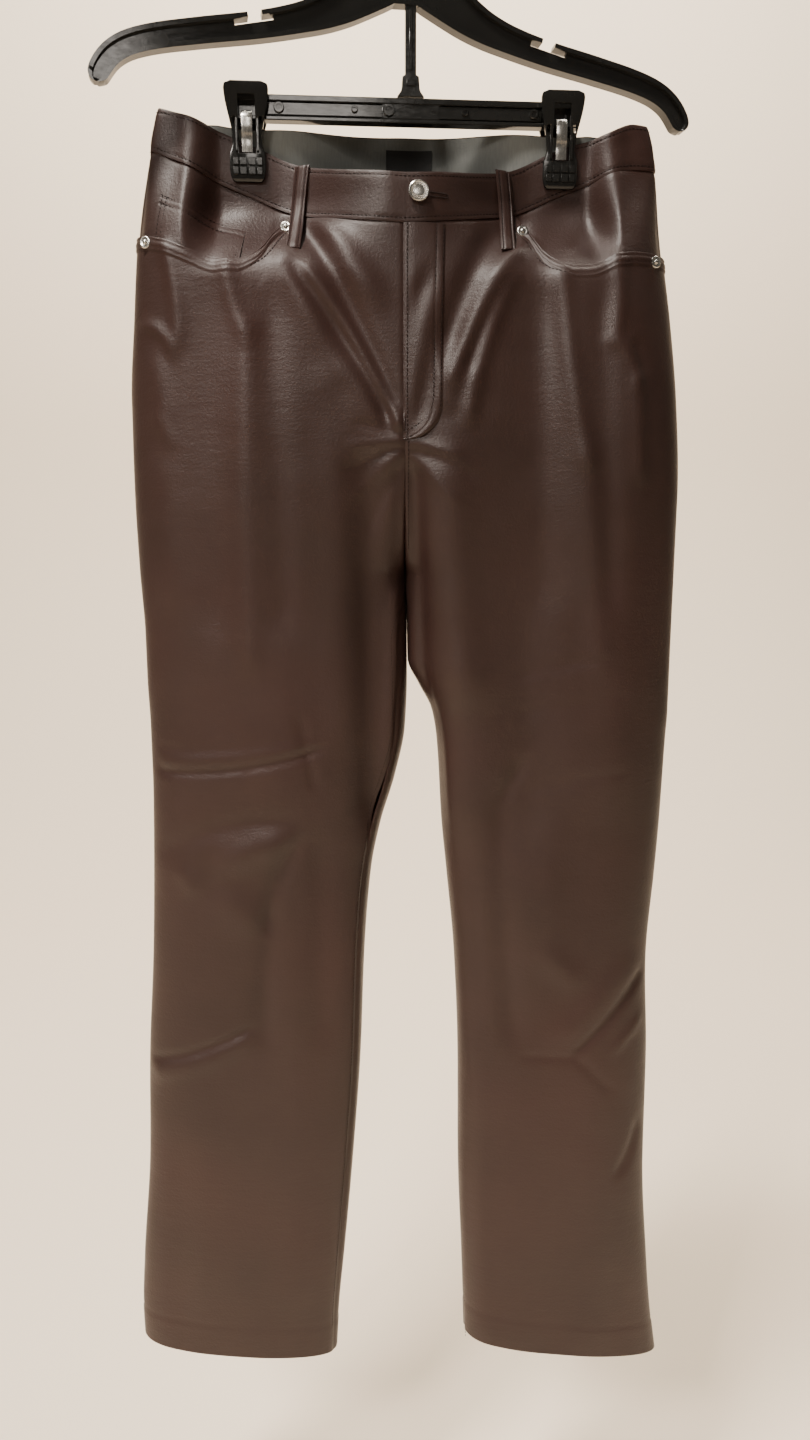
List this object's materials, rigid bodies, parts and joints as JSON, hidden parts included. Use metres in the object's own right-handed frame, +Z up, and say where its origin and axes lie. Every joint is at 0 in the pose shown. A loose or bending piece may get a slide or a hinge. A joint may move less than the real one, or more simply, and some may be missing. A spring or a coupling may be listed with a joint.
{
  "type": "faux leather trousers on a clip hanger",
  "caption": "Straight-leg faux leather trousers with curved front pockets, buttoned fly front and belt loops, held by the waistband in the two clips of a black plastic hanger.",
  "frame": {"origin": "crown of the hanger's hook, inside the bend, where a rail bears", "axes": "+Z up; the front of the trousers faces -Y; the wearer's left is on +X"},
  "size_m": [0.4586, 0.1096, 1.2123],
  "materials": {
    "faux_leather": "dark chocolate brown coated cloth, soft semi-gloss, fine grain",
    "charcoal_cloth": "matte charcoal woven cloth",
    "black_label": "matte black woven label, blank",
    "black_plastic": "glossy black moulded plastic",
    "bright_steel": "bright nickel-plated steel",
    "zip_tape": "dark brown zip tape"
  },
  "bodies": {
    "root": {"back_panel_left": "faux_leather", "back_panel_right": "faux_leather", "belt_loop_back_centre": "faux_leather", "belt_loop_back_left": "faux_leather", "belt_loop_back_right": "faux_leather", "belt_loop_front_left": "faux_leather", "belt_loop_front_right": "faux_leather", "clip_back_jaw_left": "black_plastic", "clip_back_jaw_right": "black_plastic", "clip_bar": "black_plastic", "clip_front_jaw_left": "black_plastic", "clip_front_jaw_right": "black_plastic", "clip_spring_left": "bright_steel", "clip_spring_right": "bright_steel", "coin_pocket": "faux_leather", "fly_placket": "faux_leather", "fly_zip": "zip_tape", "front_panel_left": "faux_leather", "front_panel_right": "faux_leather", "hanger_hook": "bright_steel", "hanger_shoulder": "black_plastic", "hanger_stem": "black_plastic", "pocket_facing_left": "faux_leather", "pocket_facing_right": "faux_leather", "rivet_left_inner": "bright_steel", "rivet_left_outer": "bright_steel", "rivet_right_inner": "bright_steel", "rivet_right_outer": "bright_steel", "waist_button": "bright_steel", "waist_label": "black_label", "waistband_back": "faux_leather", "waistband_facing_back": "charcoal_cloth", "waistband_front_left": "faux_leather", "waistband_front_right": "faux_leather"}
  },
  "joints": []
}
